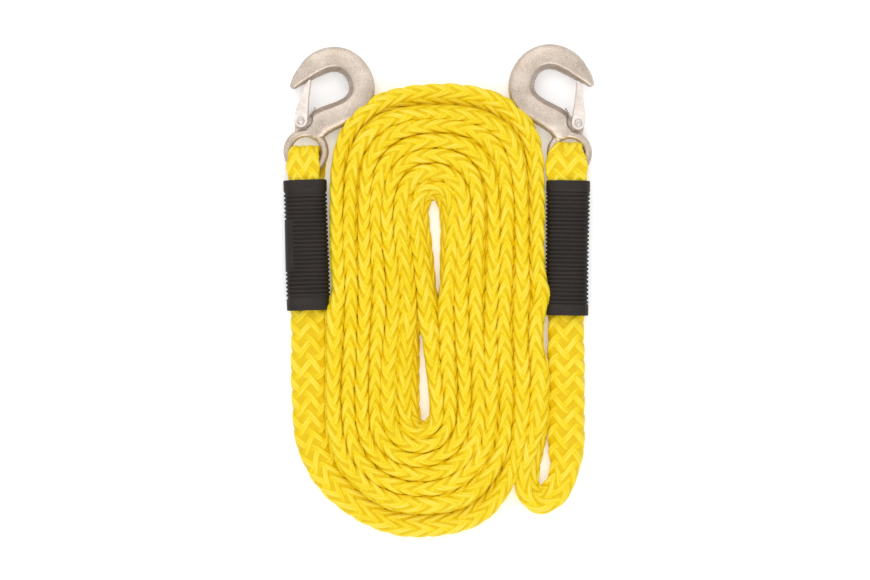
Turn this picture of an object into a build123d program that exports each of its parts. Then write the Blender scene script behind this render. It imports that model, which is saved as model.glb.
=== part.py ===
"""Vehicle tow rope, wound flat, with a forged eye hook and a sprung safety latch at each end.

Frame: the rope lies on the floor, +Z up. The origin is on the underside of the wound coil, in the middle
of the whole rope's footprint. +Y points from the coil towards the hooks and +X from the left hook to the
right one.
All lengths are millimetres. Every piece is built where it lies and written to parts/NODE.step.
"""

from build123d import *
from math import cos, pi, radians, sin, tan
import os

os.makedirs("parts", exist_ok=True)

# Rope: a flattened hollow braid, 14 mm nominal.
ROPE_TALL = 17.5  # height of the braid where it stands on edge in the coil, so also the coil's height
BIGHT_THICK = 11.0  # the braid in the right end's turn
RUN_WIDE = 23.0  # the thick end runs, which lie flat and hold the buried tails
RUN_TALL = 13.0
TAIL_WIDE = 14.0  # the buried tail, pressed flat inside the run
TAIL_TALL = 6.0

# Coil outline.
TOP_CENTRE = (-0.5, 60.2)  # of the superellipse that closes the coil's top
TOP_HALF_WIDTH = 68.1
TOP_HEIGHT = 70.8
TOP_POWER = 2.5
TOP_STEPS = 12
TOP_START = 72.0  # height where the top's curve meets the coil's sides
HOOK_BACK = (17.6, 40.3)  # middle of the round back of a hook, in the hook's frame
HOOK_BACK_RADIUS = 26.7  # with clearance

# Sleeve: an oval rubber tube with ribs between two plain collars.
SLEEVE_WIDE = 27.8
SLEEVE_TALL = 17.0
SLEEVE_RIB_DEPTH = 0.7
SLEEVE_WALL = 1.0  # under the grooves
COLLAR_LENGTH = 7.3
RIB_PITCH = 2.65
RIB_WIDTH = 1.5
PANEL_LENGTH = 32.0  # plain pad on the outer side, a little nearer the hook than the middle
PANEL_TALL = 9.0
CORE_GAP = 0.1  # between the rope and the sleeve's bore

# Hook: one forging, lying flat, with its ring at the local origin and its shank towards +Y.
HOOK_MID = 7.5  # height of the hook's middle plane over the floor
RING_RADIUS = 11.84  # to the middle of the bar
RING_BAR = 2.75  # the bar's radius
LUG_LOW, LUG_HIGH = 3.6, 8.6  # faces of the latch lug
LUG_MIDDLE = (-1.7, 19.6)  # of the lug's round end
LUG_RADIUS = 5.2
SEAT_RADIUS = 6.2  # recess round the lug's end, on each of its sides
TIP_RADIUS = 2.6
# Sections of the hook from its shank to its point: middle of the section, width in the hook's plane and
# thickness across it.
HOOK_SECTIONS = [
    ((4.2, 12.8), 13.0, 10.0),
    ((9.2, 19.2), 16.8, 13.4),
    ((16.4, 22.2), 16.0, 14.6),
    ((24.0, 23.9), 17.0, 15.0),
    ((31.0, 28.6), 17.3, 15.0),
    ((35.3, 36.0), 16.7, 15.0),
    ((35.2, 44.8), 16.3, 15.0),
    ((30.5, 53.5), 15.8, 15.0),
    ((22.5, 58.4), 15.8, 14.8),
    ((13.6, 58.4), 15.8, 14.2),
    ((5.6, 54.7), 15.0, 13.0),
    ((-0.6, 49.6), 11.6, 11.0),
    ((-4.9, 45.7), 8.5, 9.0),
    ((-7.4, 42.8), 5.2, 7.0),
]

# Latch: a pressed channel that straddles the lug, shut against the inside of the point.
PIVOT = (-3.1, 19.3)
LATCH_LOW, LATCH_HIGH = 2.0, 13.6
SHEET = 1.2
LATCH_EYE = 4.2  # radius of the sheet round the pivot
LATCH_PLATE = [(-7.15, 20.4), (-6.85, 24.6), (0.1, 42.9), (2.3, 45.6), (3.5, 45.2), (1.9, 34.9), (1.1, 19.3)]
LATCH_WEB = [(-6.35, 25.9), (-0.3, 41.9), (0.8, 41.4), (-5.2, 25.5)]
PIN_RADIUS = 1.6
PIN_RUNNING = 0.05  # running clearance between the rivet and the latch
HEAD_RADIUS = 2.5
HEAD_THICK = 0.9
HEAD_GAP = 0.08

# Torsion spring round the rivet, between the lug and the upper plate.
WIRE = 1.0
COIL_RADIUS = 2.6
COIL_PITCH = 1.1
COIL_START = 180.0  # degrees round the rivet, where the latch's leg runs into the coil
COIL_TURN = 865.0  # degrees from there to the leg that hooks over the shank
COIL_LOW = 9.15  # height of the wire's middle where the coil starts

# Where the hooks, sleeves and runs lie.
RING_LEFT = (-84.8, 88.7)
RING_RIGHT = (83.8, 87.7)
RIGHT_HOOK_TURN = -7.0  # degrees, against the left hook's mirror image
SLEEVE_LEFT = ((-83.0, -13.0), (-85.5, 70.3))  # middle of the lower end, middle of the upper end
SLEEVE_RIGHT = ((81.8, -16.3), (83.0, 69.9))
SLEEVE_MID = SLEEVE_TALL / 2

# Routes of the rope outside the coil, from each sleeve: each point is a corner of the route.
LEFT_ROUTE = [
    (-83.0, -13.0, 8.5),
    (-82.4, -33.0, 8.5),
    (-82.9, -54.0, 7.0),
    (-82.2, -74.0, 6.5),
    (-82.2, -94.0, 6.5),
]
RIGHT_ROUTE = [
    (81.8, -16.3, 8.5),
    (81.52, -36.4, 8.5),
    (82.0, -58.0, 7.0),
    (81.6, -80.0, 6.5),
    (81.9, -101.0, 6.5),
]
BIGHT_ROUTE = [
    (81.9, -101.0, 8.75),
    (81.5, -117.0, 8.75),
    (76.6, -130.0, 8.75),
    (65.8, -135.6, 8.75),
    (58.0, -127.5, 8.75),
    (57.6, -114.0, 8.75),
    (60.2, -96.0, 8.75),
    (62.3, -75.0, 8.75),
    (62.3, -54.8, 8.75),
]
COIL_JOIN_LEFT = -94.0  # where the left run enters the coil
COIL_JOIN_RIGHT = -54.8  # where the right end's turn enters the coil


def save(name, solid):
    """Write one node."""
    solid.label = name
    export_step(solid, f"parts/{name}.step")


def prism(points, low, high):
    """A flat polygon, raised from one height to another."""
    return extrude(Plane.XY.offset(low) * make_face(Polyline(*points, close=True)), high - low)


def superellipse(centre, half_width, height, power, steps):
    """Points over the top half of a superellipse, from right to left, without its two ends."""
    points = []
    for i in range(1, steps):
        angle = pi * i / steps
        c, s = cos(angle), sin(angle)
        x = half_width * abs(c) ** (2 / power) * (1 if c > 0 else -1)
        points.append((centre[0] + x, centre[1] + height * s ** (2 / power)))
    return points


def fillet_radii(points):
    """Radius for each corner of a route: 0.45 of its shorter run over the tangent of half its turn."""
    radii = []
    for before, at, after in zip(points, points[1:], points[2:]):
        into = Vector(*at) - Vector(*before)
        out = Vector(*after) - Vector(*at)
        half_turn = radians(into.get_angle(out)) / 2
        radii.append(0.45 * min(into.length, out.length) / tan(half_turn))
    return radii


def tube(points, wide, tall):
    """An oval bar along a route that keeps its width level."""
    radii = fillet_radii(points)
    print("radii", [round(r, 1) for r in radii])
    path = FilletPolyline(*points, radius=radii)
    start = Plane(origin=path @ 0, x_dir=Vector(0, 0, 1).cross(path % 0), z_dir=path % 0)
    oval = RectangleRounded(wide, tall, 0.49 * min(wide, tall))
    bar = sweep(start * oval, path=path)
    area = oval.area
    print("tube volume", round(bar.volume), "section times length", round(area * path.length))
    return bar


def coil():
    """The wound rope's outer shape: a slab, open to the left run and to the right end's turn."""
    top = superellipse(TOP_CENTRE, TOP_HALF_WIDTH, TOP_HEIGHT, TOP_POWER, TOP_STEPS)
    right_corner = (TOP_CENTRE[0] + TOP_HALF_WIDTH, TOP_START)
    left_corner = (TOP_CENTRE[0] - TOP_HALF_WIDTH, TOP_START)
    left_foot = (-70.2, COIL_JOIN_LEFT)
    run_foot = (-92.4, COIL_JOIN_LEFT)
    right_foot = (56.6, COIL_JOIN_RIGHT)
    right_step = (67.8, COIL_JOIN_RIGHT)
    edges = [
        Spline(right_corner, *[p for p in top if p[1] > TOP_START + 8], left_corner),
        Spline(left_corner, (-67.6, 38.0), (-67.5, -6.0), (-69.7, -57.0), left_foot),
        Line(left_foot, run_foot),
        Spline(
            run_foot,
            (-88.6, -106.0),
            (-81.0, -120.5),
            (-61.1, -141.4),
            (-33.6, -155.0),
            (-1.0, -157.8),
            (23.4, -151.7),
            (40.6, -137.6),
            (48.3, -121.6),
            (51.9, -97.0),
            right_foot,
        ),
        Line(right_foot, right_step),
        Line(right_step, right_corner),
    ]
    slab = extrude(make_face(Curve() + edges), ROPE_TALL)
    back = Pos(*HOOK_BACK) * extrude(Circle(HOOK_BACK_RADIUS), 2 * ROPE_TALL)
    for ring, mirrored, turn in ((RING_LEFT, False, 0.0), (RING_RIGHT, True, RIGHT_HOOK_TURN)):
        slab -= placed(back, ring, mirrored, turn)
    return slab


def sleeve_plane(ends):
    """The plane of a sleeve's lower end, with local z along the sleeve and local x level."""
    (x0, y0), (x1, y1) = ends
    along = Vector(x1 - x0, y1 - y0, 0)
    plane = Plane(origin=(x0, y0, SLEEVE_MID), x_dir=Vector(0, 0, 1).cross(along) * -1, z_dir=along)
    return plane, along.length


def oval_bar(wide, tall, start, length):
    """A rounded bar along local z."""
    shape = RectangleRounded(wide, tall, 0.46 * tall)
    return extrude(Plane.XY.offset(start) * shape, length)


def sleeve(ends, panel_side):
    """Ribbed sleeve. panel_side is +1 or -1, the side of the plain panel, or 0 for none."""
    plane, length = sleeve_plane(ends)
    groove_wide = SLEEVE_WIDE - 2 * SLEEVE_RIB_DEPTH
    groove_tall = SLEEVE_TALL - 2 * SLEEVE_RIB_DEPTH
    body = oval_bar(groove_wide, groove_tall, 0, length)
    body += oval_bar(SLEEVE_WIDE, SLEEVE_TALL, 0, COLLAR_LENGTH)
    body += oval_bar(SLEEVE_WIDE, SLEEVE_TALL, length - COLLAR_LENGTH, COLLAR_LENGTH)
    ribbed = length - 2 * COLLAR_LENGTH
    ribs = int(ribbed / RIB_PITCH)
    margin = (ribbed - (ribs - 1) * RIB_PITCH) / 2
    for i in range(ribs):
        middle = COLLAR_LENGTH + margin + i * RIB_PITCH
        body += oval_bar(SLEEVE_WIDE, SLEEVE_TALL, middle - RIB_WIDTH / 2, RIB_WIDTH)
    if panel_side:
        panel = Box(2 * SLEEVE_RIB_DEPTH + 2, PANEL_TALL, PANEL_LENGTH)
        edge = panel_side * (SLEEVE_WIDE / 2 - SLEEVE_RIB_DEPTH - 1)
        body += Pos(edge, 0, length * 0.49) * panel
    bore_wide = groove_wide - 2 * SLEEVE_WALL
    bore_tall = groove_tall - 2 * SLEEVE_WALL
    body -= oval_bar(bore_wide, bore_tall, -1, length + 2)
    return plane.location * body


def sleeve_core(ends, reach):
    """The two rope legs pressed together in the sleeve's bore, standing out of its upper end by reach."""
    plane, length = sleeve_plane(ends)
    shrink = 2 * (SLEEVE_RIB_DEPTH + SLEEVE_WALL + CORE_GAP)
    return plane.location * oval_bar(SLEEVE_WIDE - shrink, SLEEVE_TALL - shrink, 0, length + reach)


def eye_loop(ends, ring):
    """Rope eye: out of the sleeve, up through the hook's ring and back over its lower bar."""
    outline = [(-11.2, -17.6), (-10.6, -9.0), (-9.4, -3.0), (-8.9, 0.5), (-6.6, 3.9)]
    outline += [(-x, y) for x, y in reversed(outline)]
    plan = prism(outline, -1.0, 18.0)
    side = [(-17.6, 1.9), (-13.0, 0.4), (-2.0, 0.4), (2.2, 3.2), (3.9, 7.0), (3.9, 9.4)]
    side += [(2.2, 13.0), (-2.0, 16.0), (-13.0, 16.0), (-17.6, 15.1)]
    profile = make_face(Polyline(*[(0, y, z) for y, z in side], close=True))
    legs = extrude(profile, 13, dir=(1, 0, 0), both=True)
    crest = Pos(ring[0], ring[1], 0) * (plan & legs)
    bar = Pos(ring[0], ring[1], HOOK_MID) * Torus(RING_RADIUS, RING_BAR + 0.15)
    return sleeve_core(ends, 1.4) + crest - bar


def hook_body():
    """The forging: lofted shank, bowl and point, the ring, and the lug with its pin hole."""
    middles = [Vector(*middle) for middle, _, _ in HOOK_SECTIONS]
    faces = []
    for i, (middle, width, thickness) in enumerate(HOOK_SECTIONS):
        before = middles[max(i - 1, 0)]
        after = middles[min(i + 1, len(middles) - 1)]
        along = (after - before).normalized()
        across = Vector(-along.Y, along.X, 0)
        at = Plane(origin=(middles[i].X, middles[i].Y, HOOK_MID), x_dir=across, z_dir=along)
        faces.append(at * Ellipse(width / 2, thickness / 2))
    bowl = loft(faces)
    tip_x, tip_y = HOOK_SECTIONS[-1][0]
    tip = Pos(tip_x, tip_y, HOOK_MID) * scale(Sphere(TIP_RADIUS), (1, 1, HOOK_SECTIONS[-1][2] / 2 / TIP_RADIUS))
    ring = Pos(0, 0, HOOK_MID) * Torus(RING_RADIUS, RING_BAR)
    lug = prism([(-7.4, 18.6), (-6.8, 13.0), (-4.0, 11.6), (6.0, 12.0), (8.0, 21.0), (-1.0, 19.3)], LUG_LOW, LUG_HIGH)
    lug += Pos(*LUG_MIDDLE, LUG_LOW) * extrude(Circle(LUG_RADIUS), LUG_HIGH - LUG_LOW)
    body = bowl + tip + ring + lug
    seat = extrude(Circle(SEAT_RADIUS), 20)
    body -= Pos(*LUG_MIDDLE, LUG_HIGH) * seat
    body -= Pos(*LUG_MIDDLE, LUG_LOW - 20) * seat
    body -= Pos(*PIVOT, -1) * extrude(Circle(PIN_RADIUS), 20)
    return body


def latch():
    """Two tapered plates and the web that joins them along the outer side."""
    plate = make_face(Polyline(*LATCH_PLATE, close=True)) + Pos(*PIVOT) * Circle(LATCH_EYE)
    plate -= Pos(*PIVOT) * Circle(PIN_RADIUS + PIN_RUNNING)
    body = Pos(0, 0, LATCH_LOW) * extrude(plate, SHEET)
    body += Pos(0, 0, LATCH_HIGH - SHEET) * extrude(plate, SHEET)
    return body + prism(LATCH_WEB, LATCH_LOW, LATCH_HIGH)


def latch_pin():
    """Rivet through both plates and the lug, with a domed head at each end."""
    low = LATCH_LOW - HEAD_GAP
    high = LATCH_HIGH + HEAD_GAP
    pin = Pos(*PIVOT, low) * extrude(Circle(PIN_RADIUS), high - low)
    pin += Pos(*PIVOT, high) * extrude(Circle(HEAD_RADIUS), HEAD_THICK, taper=25)
    pin += Pos(*PIVOT, low) * extrude(Circle(HEAD_RADIUS), -HEAD_THICK, taper=25)
    return pin


def wire(points):
    """Straight wire through points, with a round corner at each."""
    parts = []
    for start, end in zip(points, points[1:]):
        run = Vector(*end) - Vector(*start)
        parts.append(Plane(origin=start, z_dir=run) * extrude(Circle(WIRE / 2), run.length))
    parts += [Pos(*point) * Sphere(WIRE / 2) for point in points[1:-1]]
    whole = parts[0]
    for piece in parts[1:]:
        whole += piece
    return whole


def latch_spring():
    """Coil round the rivet. One leg lies behind the latch's web and one hooks over the shank's edge."""
    height = COIL_PITCH * COIL_TURN / 360
    helix = Helix(COIL_PITCH, height, COIL_RADIUS)
    helix = Pos(*PIVOT, COIL_LOW) * Rot(0, 0, COIL_START) * helix
    section = Plane(origin=helix @ 0, z_dir=helix % 0) * Circle(WIRE / 2)
    spring = sweep(section, path=helix, is_frenet=True)
    start, end = helix @ 0, helix @ 1
    latch_leg = [tuple(start), (start.X, start.Y + 2.2, start.Z), (-2.6, 31.0, start.Z)]
    shank_leg = [tuple(end), (5.4, 26.9, end.Z), (6.0, 27.9, 8.6)]
    return spring + wire(latch_leg) + wire(shank_leg)


def placed(solid, ring, mirrored, turn):
    """A hook piece carried from the hook's own frame to where it lies."""
    if mirrored:
        solid = solid.mirror(Plane.YZ)
    return Pos(ring[0], ring[1], 0) * Rot(0, 0, turn) * solid


def with_tail(run, route):
    """Split an end run into the hollow run and the tail that is buried in it."""
    tail = tube(route[:4], TAIL_WIDE, TAIL_TALL)
    return run - tail, tail


save("rope_coil", coil())

SIDES = (
    ("left", SLEEVE_LEFT, RING_LEFT, LEFT_ROUTE, False, 0.0, -1),
    ("right", SLEEVE_RIGHT, RING_RIGHT, RIGHT_ROUTE, True, RIGHT_HOOK_TURN, 0),
)
for side, ends, ring, route, mirrored, turn, panel_side in SIDES:
    save(f"{side}_sleeve", sleeve(ends, panel_side))
    save(f"{side}_eye_loop", eye_loop(ends, ring))
    run = tube(route, RUN_WIDE, RUN_TALL)
    hollow, tail = with_tail(run, route)
    if side == "right":
        hollow += tube(BIGHT_ROUTE, BIGHT_THICK, ROPE_TALL)
    save(f"{side}_end_run", hollow)
    save(f"{side}_spliced_tail", tail)
    save(f"{side}_hook_body", placed(hook_body(), ring, mirrored, turn))
    save(f"{side}_latch", placed(latch(), ring, mirrored, turn))
    save(f"{side}_latch_pin", placed(latch_pin(), ring, mirrored, turn))
    save(f"{side}_latch_spring", placed(latch_spring(), ring, mirrored, turn))
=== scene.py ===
"""Looks for the wound tow rope: braided rope, ribbed sleeves, forged hooks, latches, rivets and springs.

Lengths in the constants are millimetres in the CAD frame and are turned into metres where meshes are made.
"""

import math

import bmesh
import bpy
import numpy as np
from mathutils import Matrix, Vector


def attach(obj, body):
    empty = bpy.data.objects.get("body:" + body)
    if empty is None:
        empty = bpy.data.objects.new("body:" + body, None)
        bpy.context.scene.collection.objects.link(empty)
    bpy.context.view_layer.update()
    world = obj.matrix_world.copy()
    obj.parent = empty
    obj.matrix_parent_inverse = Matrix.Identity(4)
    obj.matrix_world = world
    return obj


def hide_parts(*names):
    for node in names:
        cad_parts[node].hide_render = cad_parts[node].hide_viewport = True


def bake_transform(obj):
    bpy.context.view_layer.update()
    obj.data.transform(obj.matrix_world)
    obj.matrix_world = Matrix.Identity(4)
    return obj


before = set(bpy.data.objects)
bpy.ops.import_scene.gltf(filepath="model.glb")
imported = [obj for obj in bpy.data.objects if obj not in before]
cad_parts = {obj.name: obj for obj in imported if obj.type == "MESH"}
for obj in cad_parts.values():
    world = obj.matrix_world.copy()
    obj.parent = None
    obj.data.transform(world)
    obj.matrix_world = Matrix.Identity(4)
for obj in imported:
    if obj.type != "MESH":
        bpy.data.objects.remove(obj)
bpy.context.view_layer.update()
MM = 0.001  # metres in a millimetre

# --- rope route -------------------------------------------------------------------------------------------

ROPE_TALL = 17.5  # long side of the flattened braid
ROPE_FLAT = 9.3  # its short side
RUN_HALF_WIDTH = 11.9  # half width of the end runs, which hold the buried tails
SECTION_POWER = 2.7  # how square the rope's section is, 2 being an ellipse
LAY = 47.0  # one turn of a yarn round the braid
CARRIERS = 4  # each way round
STAGGER = 0.2  # how far one way's carriers lie ahead of the other's, as a share of their spacing
RELIEF_BASE = 1.12  # how far the yarns' feet lie inside the rope's nominal outline

# Across-the-coil positions of the strands at four heights: left legs 1 to 6, then the centre strand, and
# right legs 7 to 1.
LEG_HEIGHTS = (72.0, 43.0, -6.0, -67.0)
LEG_STEPS = (-62.0, -34.0, -6.0, 22.0, 46.0)  # where a leg has its control points
LEFT_LEGS = {
    1: (-65.2, -65.0, -63.6, -66.9),
    2: (-56.6, -56.2, -55.2, -58.3),
    3: (-48.2, -47.9, -46.4, -50.0),
    4: (-40.4, -40.2, -37.4, -42.0),
    5: (-32.6, -32.6, -28.4, -34.0),
    6: (-24.4, -24.4, -18.2, -20.0),
    7: (-13.0, -13.0, -6.3, -1.7),
}
RIGHT_LEGS = {
    7: (7.2, 7.0, 5.3, 8.4),
    6: (17.9, 17.9, 14.2, 16.7),
    5: (26.6, 26.4, 24.0, 26.0),
    4: (35.2, 34.8, 33.3, 35.0),
    3: (44.2, 43.6, 42.2, 43.8),
    2: (53.6, 53.0, 52.0, 53.3),
    1: (63.2, 63.0, 62.4, 62.8),
}
TOPS = {1: 124.5, 2: 114.9, 3: 105.6, 4: 96.3, 5: 86.7, 6: 77.1, 7: 64.0}
BOTTOMS = {2: -137.0, 3: -127.7, 4: -118.1, 5: -108.4, 6: -99.4, 7: -90.0}
ARC_STEPS = 10
ROW_STEP = 0.95  # between the rows of the rope's skin
PRESS = 1.6  # how far neighbouring strands press into each other
LYING_FLAT = 62.0  # from this roll on, a stretch lies flat and isn't pressed
OWN_STRETCH = 26.0  # rope nearer than this along itself isn't a neighbour
ABREAST = 2.6  # how far along the rope a neighbouring row may stand
TOUCH = 8.4  # with more room than this, a strand has no neighbour on that side
NO_ONE = 99.0  # the room where there is no neighbour
HALF_THICKNESS = (3.7, 6.7)  # least and greatest a strand is pressed to
MAX_SHIFT = 1.5  # in one round of pressing
MAX_MOVE = 2.2  # in all the rounds together

# Route outside the coil, as the CAD runs lie: x, y and, where it isn't the coil's, z.
LEFT_RUN = [
    (-83.5, 7.0, 8.5),
    (-83.0, -13.0, 8.5),
    (-82.4, -33.0, 8.5),
    (-82.9, -54.0, 7.0),
    (-82.2, -74.0, 6.5),
]
FIRST_BOTTOM = [
    (-82.2, -95.0),
    (-75.6, -113.2),
    (-63.8, -127.0),
    (-49.4, -139.2),
    (-35.2, -147.0),
    (-18.4, -150.0),
    (-1.0, -149.4),
    (17.0, -145.9),
    (29.8, -138.2),
    (40.0, -127.0),
    (46.8, -112.0),
    (51.0, -96.0),
]
RIGHT_BIGHT = [
    (63.2, -54.8, 8.75),
    (64.4, -75.0, 8.75),
    (61.8, -96.0, 8.75),
    (57.0, -114.0, 8.75),
    (56.4, -127.5, 8.75),
    (64.6, -136.4, 8.75),
    (75.6, -130.4, 8.75),
    (81.5, -117.0, 8.75),
]
RIGHT_RUN = [
    (81.9, -101.0, 6.5),
    (81.6, -80.0, 6.5),
    (82.0, -58.0, 7.0),
    (81.52, -36.4, 8.5),
    (81.8, -16.3, 8.5),
    (82.1, 4.0, 8.5),
]


def leg_x(legs, k, y):
    """Where a leg is across the coil at a height y."""
    x = np.interp(y, LEG_HEIGHTS[::-1], legs[k][::-1])
    return x + 0.5 * math.sin(0.09 * y + 2.1 * k)


def arc(x_from, x_to, base, peak, power, steps):
    """Control points of half a superellipse from one leg to another, without its two ends."""
    middle = (x_from + x_to) / 2
    half = (x_to - x_from) / 2
    points = []
    for i in range(1, steps):
        angle = math.pi * i / steps
        c, s = math.cos(angle), math.sin(angle)
        x = middle - half * math.copysign(abs(c) ** (2 / power), c)
        points.append((x, base + (peak - base) * s ** (2 / power)))
    return points


def leg(legs, k, upwards):
    """Control points of one leg of the coil."""
    points = [(leg_x(legs, k, y), y) for y in LEG_STEPS]
    return points if upwards else points[::-1]


def top_arc(k, leftwards):
    """Control points over the top of turn k."""
    base = 60.0 - 2.0 * (k - 1)
    left, right = leg_x(LEFT_LEGS, k, base), leg_x(RIGHT_LEGS, k, base)
    ends = (right, left) if leftwards else (left, right)
    return arc(*ends, base, TOPS[k], 2.96 - 0.12 * k, ARC_STEPS)


def bottom_arc(k, rightwards):
    """Control points under the bottom of turn k."""
    base = -81.0 + 0.9 * k
    left = leg_x(LEFT_LEGS, k - 1, base)
    right = leg_x(RIGHT_LEGS, k + 1, base) if k < 7 else leg_x(LEFT_LEGS, 7, base)
    ends = (left, right) if rightwards else (right, left)
    return arc(*ends, base, BOTTOMS[k], 2.2, ARC_STEPS)


def along_run(value, t):
    """A value at t, from 0 to 1 along a run: a number stays as it is, a tuple is spread over the run."""
    if isinstance(value, tuple):
        return np.interp(t, np.linspace(0, 1, len(value)), value)
    return value


def rope_controls():
    """Control points of the whole rope with its half width, half thickness and roll at each.

    Roll is in degrees: 0 stands the braid on its edge and 90 lays it flat.
    """
    rows = []

    def add(points, wide, thick, roll, z=None):
        for i, p in enumerate(points):
            t = i / max(len(points) - 1, 1)
            height = p[2] if len(p) > 2 else along_run(z, t)
            rows.append((p[0], p[1], height, along_run(wide, t), along_run(thick, t), along_run(roll, t)))

    half, slim = ROPE_TALL / 2, ROPE_FLAT / 2
    on_edge = dict(wide=half, thick=slim, roll=0.0, z=half)
    add(LEFT_RUN, RUN_HALF_WIDTH, (6.4, 6.2), 90.0)
    add(FIRST_BOTTOM[:4], (11.0, 8.9), (6.2, 4.8), (90.0, 84.0), (6.4, 5.4))
    add(FIRST_BOTTOM[4:8], (8.6, 8.6), 4.7, (82.0, 66.0), (5.4, 6.4))
    add(FIRST_BOTTOM[8:], half, slim, (48.0, 4.0), (7.6, half))
    for k in (2, 4, 6):
        add(leg(RIGHT_LEGS, k, True), **on_edge)
        add(top_arc(k, True), **on_edge)
        add(leg(LEFT_LEGS, k, False), half, slim, 0.0 if k < 6 else (0.0, 52.0), half)
        add(bottom_arc(k + 1, True), half, slim, 0.0 if k < 6 else (52.0, 0.0), half)
    add(leg(LEFT_LEGS, 7, True), half, slim, (0.0, -30.0), half)
    add(top_arc(7, False), half, slim, (-30.0, -28.0), half)
    add(leg(RIGHT_LEGS, 7, False), half, slim, (-26.0, 0.0), half)
    for k in (6, 4):
        add(bottom_arc(k, False), **on_edge)
        add(leg(LEFT_LEGS, k - 1, True), **on_edge)
        add(top_arc(k - 1, False), **on_edge)
        add(leg(RIGHT_LEGS, k - 1, False), **on_edge)
    add(bottom_arc(2, False), **on_edge)
    add(leg(LEFT_LEGS, 1, True), half, slim, (0.0, 0.0, -18.0), half)
    add(top_arc(1, False), half, slim, (-24.0, -30.0, -42.0, -45.0, -28.0), half)
    add(leg(RIGHT_LEGS, 1, False)[:4], half, slim, (-24.0, 0.0), half)
    add(RIGHT_BIGHT[:4], half, (slim, 5.2), (0.0, 40.0))
    add(RIGHT_BIGHT[4:], (8.9, 9.4), (5.2, 5.6), (50.0, 84.0))
    add(RIGHT_RUN, RUN_HALF_WIDTH, (6.2, 6.4), 90.0)
    return np.array(rows)


def spline_points(name, controls, resolution=8):
    """Points of the smooth line through control points in millimetres, and their place among those."""
    curve = bpy.data.curves.new(name, "CURVE")
    curve.dimensions = "3D"
    curve.resolution_u = resolution
    spline = curve.splines.new("NURBS")
    spline.points.add(len(controls) - 1)
    for point, row in zip(spline.points, controls):
        point.co = (row[0] * MM, row[1] * MM, row[2] * MM, 1.0)
    spline.order_u = 3
    spline.use_endpoint_u = True
    obj = bpy.data.objects.new(name, curve)
    bpy.context.scene.collection.objects.link(obj)
    bpy.context.view_layer.update()
    mesh = bpy.data.meshes.new_from_object(obj)
    co = np.empty(len(mesh.vertices) * 3)
    mesh.vertices.foreach_get("co", co)
    bpy.data.objects.remove(obj)
    bpy.data.curves.remove(curve)
    bpy.data.meshes.remove(mesh)
    co = co.reshape(-1, 3) / MM
    place = np.linspace(0, len(controls) - 2, len(co)) + 0.5
    return co, np.clip(place, 0, len(controls) - 1)


def resample(points, values, step):
    """Even steps along a line, and the values carried with it."""
    s = np.concatenate([[0], np.cumsum(np.linalg.norm(np.diff(points, axis=0), axis=1))])
    count = max(int(round(s[-1] / step)), 4)
    even = np.linspace(0, s[-1], count + 1)
    line = np.stack([np.interp(even, s, points[:, i]) for i in range(3)], 1)
    carried = np.stack([np.interp(even, s, values[:, i]) for i in range(values.shape[1])], 1)
    return even, line, carried


def smooth(values, reach):
    """A running mean along a line."""
    kernel = np.hanning(2 * reach + 3)[1:-1]
    kernel /= kernel.sum()
    padded = np.concatenate([np.repeat(values[:1], reach, 0), values, np.repeat(values[-1:], reach, 0)])
    return np.convolve(padded, kernel, "valid")


def settle(s, line, wide, thick, roll, rounds=14):
    """Press the strands of the coil together: each moves and swells until it fills the room between its two
    neighbours. Gives the moved line and the half thickness."""
    lean = np.radians(roll)
    coil = np.abs(roll) < LYING_FLAT
    reach = np.hypot(wide * np.sin(lean), thick * np.cos(lean))
    start = line.copy()
    far = np.abs(s[None] - s[:, None]) > OWN_STRETCH
    for _ in range(rounds):
        tangent = np.gradient(line[:, :2], axis=0)
        tangent /= np.linalg.norm(tangent, axis=1)[:, None]
        normal = np.stack([-tangent[:, 1], tangent[:, 0]], 1)
        gap = line[None, :, :2] - line[:, None, :2]
        along = np.abs(np.einsum("ijk,ik->ij", gap, tangent))
        across = np.einsum("ijk,ik->ij", gap, normal)
        room = np.abs(across) - reach[None] + PRESS
        near = far & (along < ABREAST) & (room < TOUCH)
        left = np.where(near & (across > 0), room, NO_ONE).min(1)
        right = np.where(near & (across < 0), room, NO_ONE).min(1)
        has_left, has_right = left < NO_ONE, right < NO_ONE
        both = has_left & has_right
        one = np.where(has_left, left - reach, np.where(has_right, right - reach, 0.0)) / 2
        fill = np.where(both, (left + right) / 2 + thick - reach, thick + one)
        shift = np.where(both, (left - right) / 2, np.where(has_left, one, -one))
        fill = np.clip(fill, *HALF_THICKNESS)
        thick = np.where(coil, smooth(0.55 * thick + 0.45 * fill, 2), thick)
        shift = smooth(np.where(coil, np.clip(shift, -MAX_SHIFT, MAX_SHIFT), 0.0), 3)
        line[:, :2] += normal * (0.4 * shift)[:, None]
        moved = line - start
        size = np.linalg.norm(moved, axis=1)
        line = start + moved * np.minimum(1, MAX_MOVE / np.maximum(size, 1e-6))[:, None]
        reach = np.where(coil, np.hypot(wide * np.sin(lean), thick * np.cos(lean)), reach)
    return line, thick


def new_mesh(name, verts, faces, smooth_faces=True):
    """A mesh object from points in millimetres."""
    mesh = bpy.data.meshes.new(name)
    mesh.from_pydata((np.asarray(verts) * MM).tolist(), [], faces)
    mesh.validate()
    if smooth_faces:
        mesh.polygons.foreach_set("use_smooth", [True] * len(mesh.polygons))
    obj = bpy.data.objects.new(name, mesh)
    bpy.context.scene.collection.objects.link(obj)
    return obj


def squared(values, power):
    """Cosines or sines drawn outwards, so that the circle they give becomes a squarer superellipse."""
    return np.sign(values) * np.abs(values) ** (2 / power)


def ring_faces(rows, around):
    """Quads between rows of points that each go right round."""
    i = np.arange(rows - 1)[:, None] * around
    j = np.arange(around)[None]
    k = (j + 1) % around
    return np.stack([i + j, i + k, i + around + k, i + around + j], -1).reshape(-1, 4)


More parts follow.
